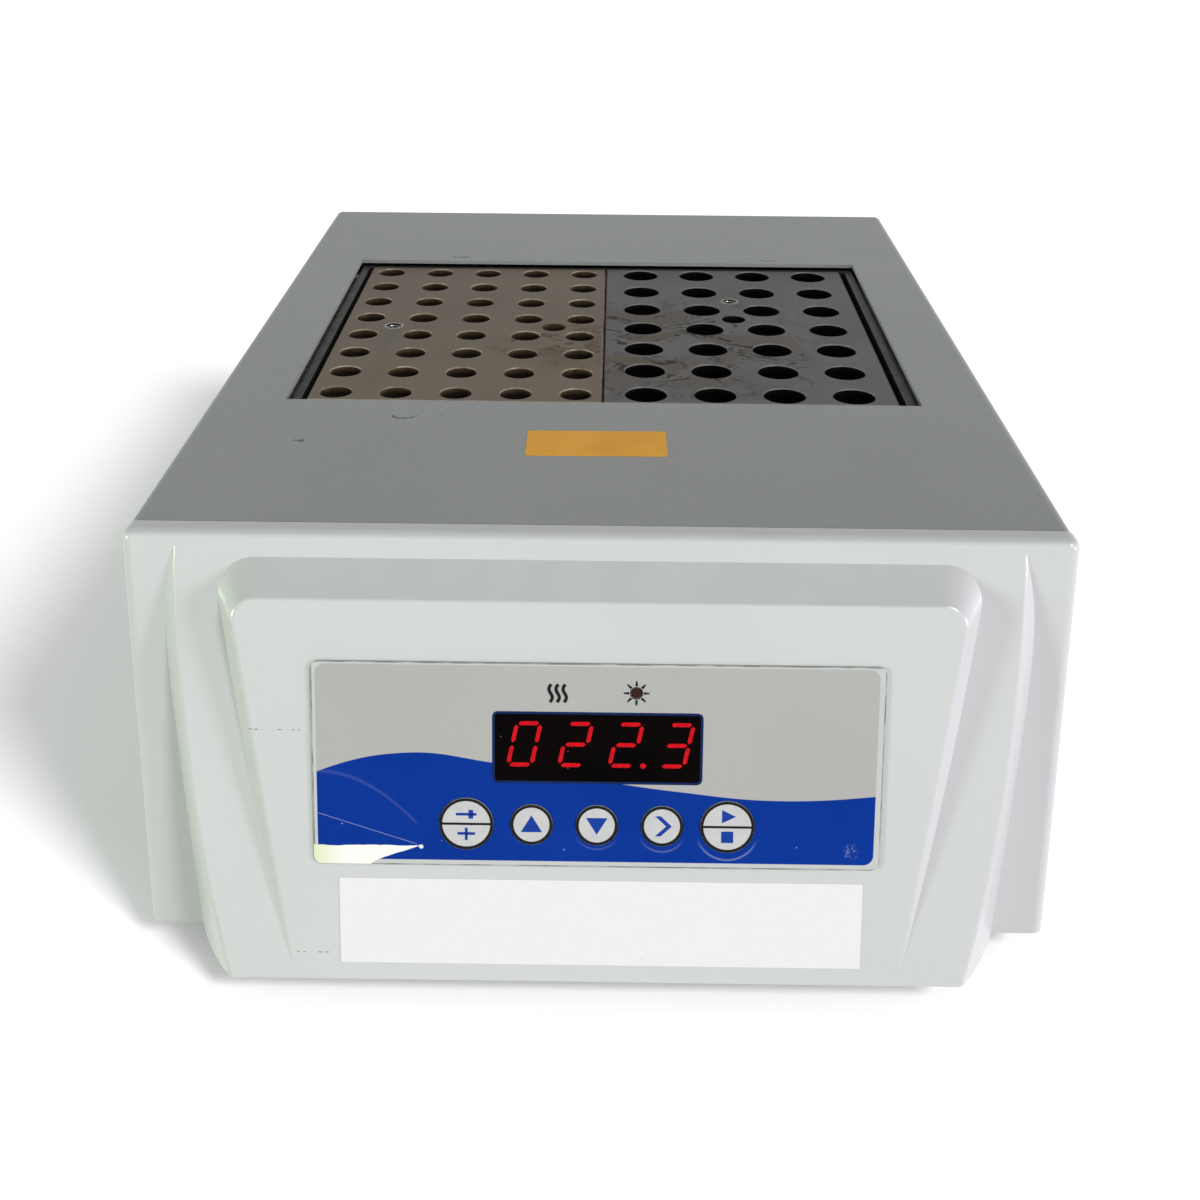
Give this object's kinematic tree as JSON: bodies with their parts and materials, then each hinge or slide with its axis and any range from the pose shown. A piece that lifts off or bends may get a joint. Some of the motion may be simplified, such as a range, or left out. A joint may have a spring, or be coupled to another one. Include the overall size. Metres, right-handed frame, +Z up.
{
  "type": "dry block heater",
  "caption": "Bench-top dry block heater: folded steel case, sloping moulded front with display and keypad, two lift-out drilled metal tube blocks, rear inlet and switch.",
  "frame": {"origin": "on the table, under the middle of the whole box that holds the object", "axes": "+X to the right seen from the front, +Y to the rear, +Z up; the sloping front looks towards -Y"},
  "size_m": [0.2094, 0.3082, 0.1035],
  "materials": {
    "cover_paint": "fine textured mid-grey powder coat with small chips",
    "chassis_steel": "zinc-grey sheet steel",
    "bezel_plastic": "fine-grained pale grey moulding with scuffs",
    "overlay_film": "printed polyester film, grey over blue, scratched",
    "window_red": "dark smoked red filter",
    "key_white": "white printed film dome with blue symbol",
    "lamp_red": "diffused lamp lens",
    "board_green": "green solder-masked laminate",
    "component_black": "moulded component cases",
    "tray_aluminium": "black anodised aluminium",
    "block_bronze": "bronze-brown anodised aluminium with stains",
    "block_black": "black anodised aluminium with brown tide marks",
    "insert_brass": "plated threaded bush",
    "screw_steel": "zinc-plated steel",
    "foot_rubber": "black rubber",
    "heater_silicone": "red-brown silicone heater pad",
    "wool": "compressed mineral wool",
    "lamination": "varnished steel laminations",
    "coil_tape": "yellow taped winding",
    "sink_aluminium": "plain extruded aluminium",
    "inlet_plastic": "black moulding",
    "pin_metal": "nickel-plated pins",
    "fuse_glass": "clear glass tube",
    "ribbon_grey": "grey flat cable"
  },
  "bodies": {
    "casing": {"top_cover": "cover_paint", "chassis": "chassis_steel", "front_bezel": "bezel_plastic", "keypad_overlay": "overlay_film", "display_window": "window_red", "display_board": "board_green", "display_module": "component_black", "key_switches": "component_black", "heat_lamp": "lamp_red", "alarm_lamp": "lamp_red", "board_screws": "screw_steel", "heater_tray": "tray_aluminium", "heater_pad": "heater_silicone", "heater_clamp": "chassis_steel", "insulation_slab": "wool", "insulation_jacket": "wool", "thermal_cutout": "pin_metal", "sensor_probe": "screw_steel", "tray_standoffs": "screw_steel", "standoff_screws": "screw_steel", "control_board": "board_green", "control_posts": "screw_steel", "control_components": "component_black", "display_ribbon": "ribbon_grey", "transformer_core": "lamination", "transformer_coil": "coil_tape", "heat_sink": "sink_aluminium", "triac": "component_black", "earth_stud": "pin_metal", "power_inlet": "inlet_plastic", "inlet_pins": "pin_metal", "switch_body": "inlet_plastic", "rubber_feet": "foot_rubber", "foot_screws": "screw_steel", "cover_screws": "screw_steel", "bezel_screws": "screw_steel"},
    "left_block": {"block_left": "block_bronze", "block_left_insert": "insert_brass"},
    "right_block": {"block_right": "block_black", "block_right_insert": "insert_brass"},
    "rocker": {"power_rocker": "inlet_plastic"},
    "drawer": {"fuse_drawer": "inlet_plastic", "fuse": "fuse_glass"},
    "key_set_cap": {"key_set": "key_white"},
    "key_up_cap": {"key_up": "key_white"},
    "key_down_cap": {"key_down": "key_white"},
    "key_shift_cap": {"key_shift": "key_white"},
    "key_start_cap": {"key_start": "key_white"}
  },
  "joints": [
    {"name": "left_block_lift", "type": "slide", "parent": "casing", "child": "left_block", "axis": [0, 0, 1], "range_m": [0, 0.06]},
    {"name": "right_block_lift", "type": "slide", "parent": "casing", "child": "right_block", "axis": [0, 0, 1], "range_m": [0, 0.06]},
    {"name": "key_set_press", "type": "slide", "parent": "casing", "child": "key_set_cap", "axis": [0, 0.9763, -0.2164], "range_m": [0, 0.0005], "stiffness_N_per_m": 3000, "springref_m": -0.0005},
    {"name": "key_up_press", "type": "slide", "parent": "casing", "child": "key_up_cap", "axis": [0, 0.9763, -0.2164], "range_m": [0, 0.0005], "stiffness_N_per_m": 3000, "springref_m": -0.0005},
    {"name": "key_down_press", "type": "slide", "parent": "casing", "child": "key_down_cap", "axis": [0, 0.9763, -0.2164], "range_m": [0, 0.0005], "stiffness_N_per_m": 3000, "springref_m": -0.0005},
    {"name": "key_shift_press", "type": "slide", "parent": "casing", "child": "key_shift_cap", "axis": [0, 0.9763, -0.2164], "range_m": [0, 0.0005], "stiffness_N_per_m": 3000, "springref_m": -0.0005},
    {"name": "key_start_press", "type": "slide", "parent": "casing", "child": "key_start_cap", "axis": [0, 0.9763, -0.2164], "range_m": [0, 0.0005], "stiffness_N_per_m": 3000, "springref_m": -0.0005},
    {"name": "rocker_turn", "type": "hinge", "parent": "casing", "child": "rocker", "pos_m": [0.024, 0.1488, 0.0432], "axis": [-1, 0, 0], "range_deg": [0, 20]},
    {"name": "drawer_pull", "type": "slide", "parent": "casing", "child": "drawer", "axis": [0, 1, 0], "range_m": [0, 0.018]}
  ]
}
